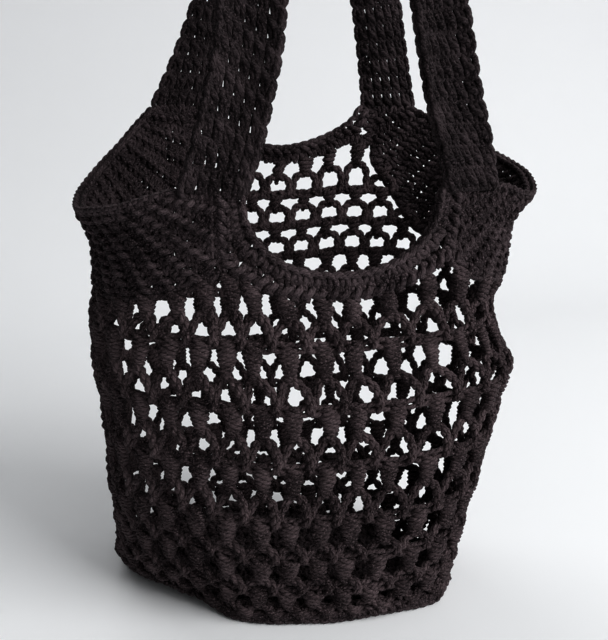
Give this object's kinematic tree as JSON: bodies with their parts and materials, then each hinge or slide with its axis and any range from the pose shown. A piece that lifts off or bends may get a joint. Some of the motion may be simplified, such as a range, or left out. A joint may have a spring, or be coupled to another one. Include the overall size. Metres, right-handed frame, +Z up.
{
  "type": "market bag",
  "caption": "Open-net crocheted market bag with close-worked sides, a rounded neckline at front and back, and upright strap handles for carrying shopping.",
  "frame": {"origin": "on the underside of the base, under the middle of the mouth", "axes": "+Z up towards the handles, -Y the front with the lower neckline, +X the right side seen from the front"},
  "size_m": [0.3637, 0.2086, 0.5755],
  "materials": {
    "yarn": "matte"
  },
  "bodies": {
    "root": {"base": "yarn", "net": "yarn", "front_band": "yarn", "back_band": "yarn", "right_yoke": "yarn", "left_yoke": "yarn", "front_handle": "yarn", "back_handle": "yarn"}
  },
  "joints": []
}
